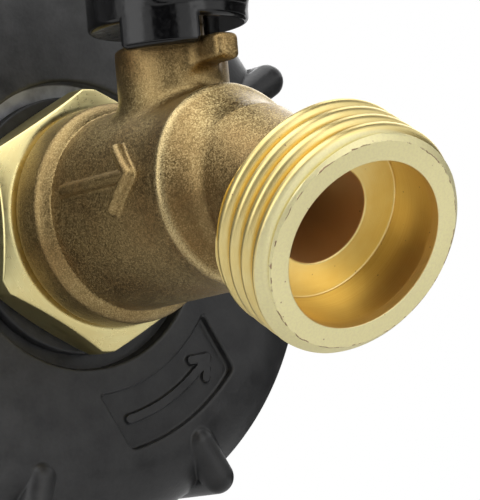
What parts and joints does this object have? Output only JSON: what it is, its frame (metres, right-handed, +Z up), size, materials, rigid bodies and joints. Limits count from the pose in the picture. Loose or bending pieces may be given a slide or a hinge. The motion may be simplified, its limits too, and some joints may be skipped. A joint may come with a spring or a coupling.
{
  "type": "ball valve hose tap with tank cap",
  "caption": "Angled brass quarter-turn hose tap with a lever and stop lug, a threaded outlet and a hex tailpiece, screwed into a black plastic screw-on tank cap with grip lugs.",
  "frame": {"origin": "centre of the tank cap's open mouth, on the axis of the tank thread", "axes": "+Y runs out of the cap's mouth into the tank, water flows along -Y, +Z runs up the stem toward the lever"},
  "size_m": [0.0734, 0.1114, 0.0734],
  "materials": {
    "black_plastic": "moulded satin",
    "black_rubber": "matte",
    "machined_brass": "turned bright",
    "blasted_brass": "forged and sandblasted",
    "white_seal": "waxy",
    "plated_ball": "polished",
    "black_coat": "gloss",
    "zinc_plate": "zinc plated"
  },
  "bodies": {
    "tap": {"tank_cap": "black_plastic", "tank_gasket": "black_rubber", "tailpiece": "machined_brass", "tailpiece_washer": "black_rubber", "body_o_ring": "black_rubber", "valve_body": "blasted_brass", "inlet_seat": "white_seal", "outlet_seat": "white_seal", "thrust_washer": "white_seal", "gland_packing": "white_seal", "gland_screw": "machined_brass"},
    "lever": {"lever_handle": "black_coat", "lock_washer": "zinc_plate", "handle_nut": "zinc_plate", "stem": "machined_brass", "stem_o_ring": "black_rubber", "ball": "plated_ball"}
  },
  "joints": [
    {"name": "lever_turn", "type": "hinge", "parent": "tap", "child": "lever", "pos_m": [0, -0.0494, 0], "axis": [0, 0, 1], "range_deg": [-90, 0]}
  ]
}
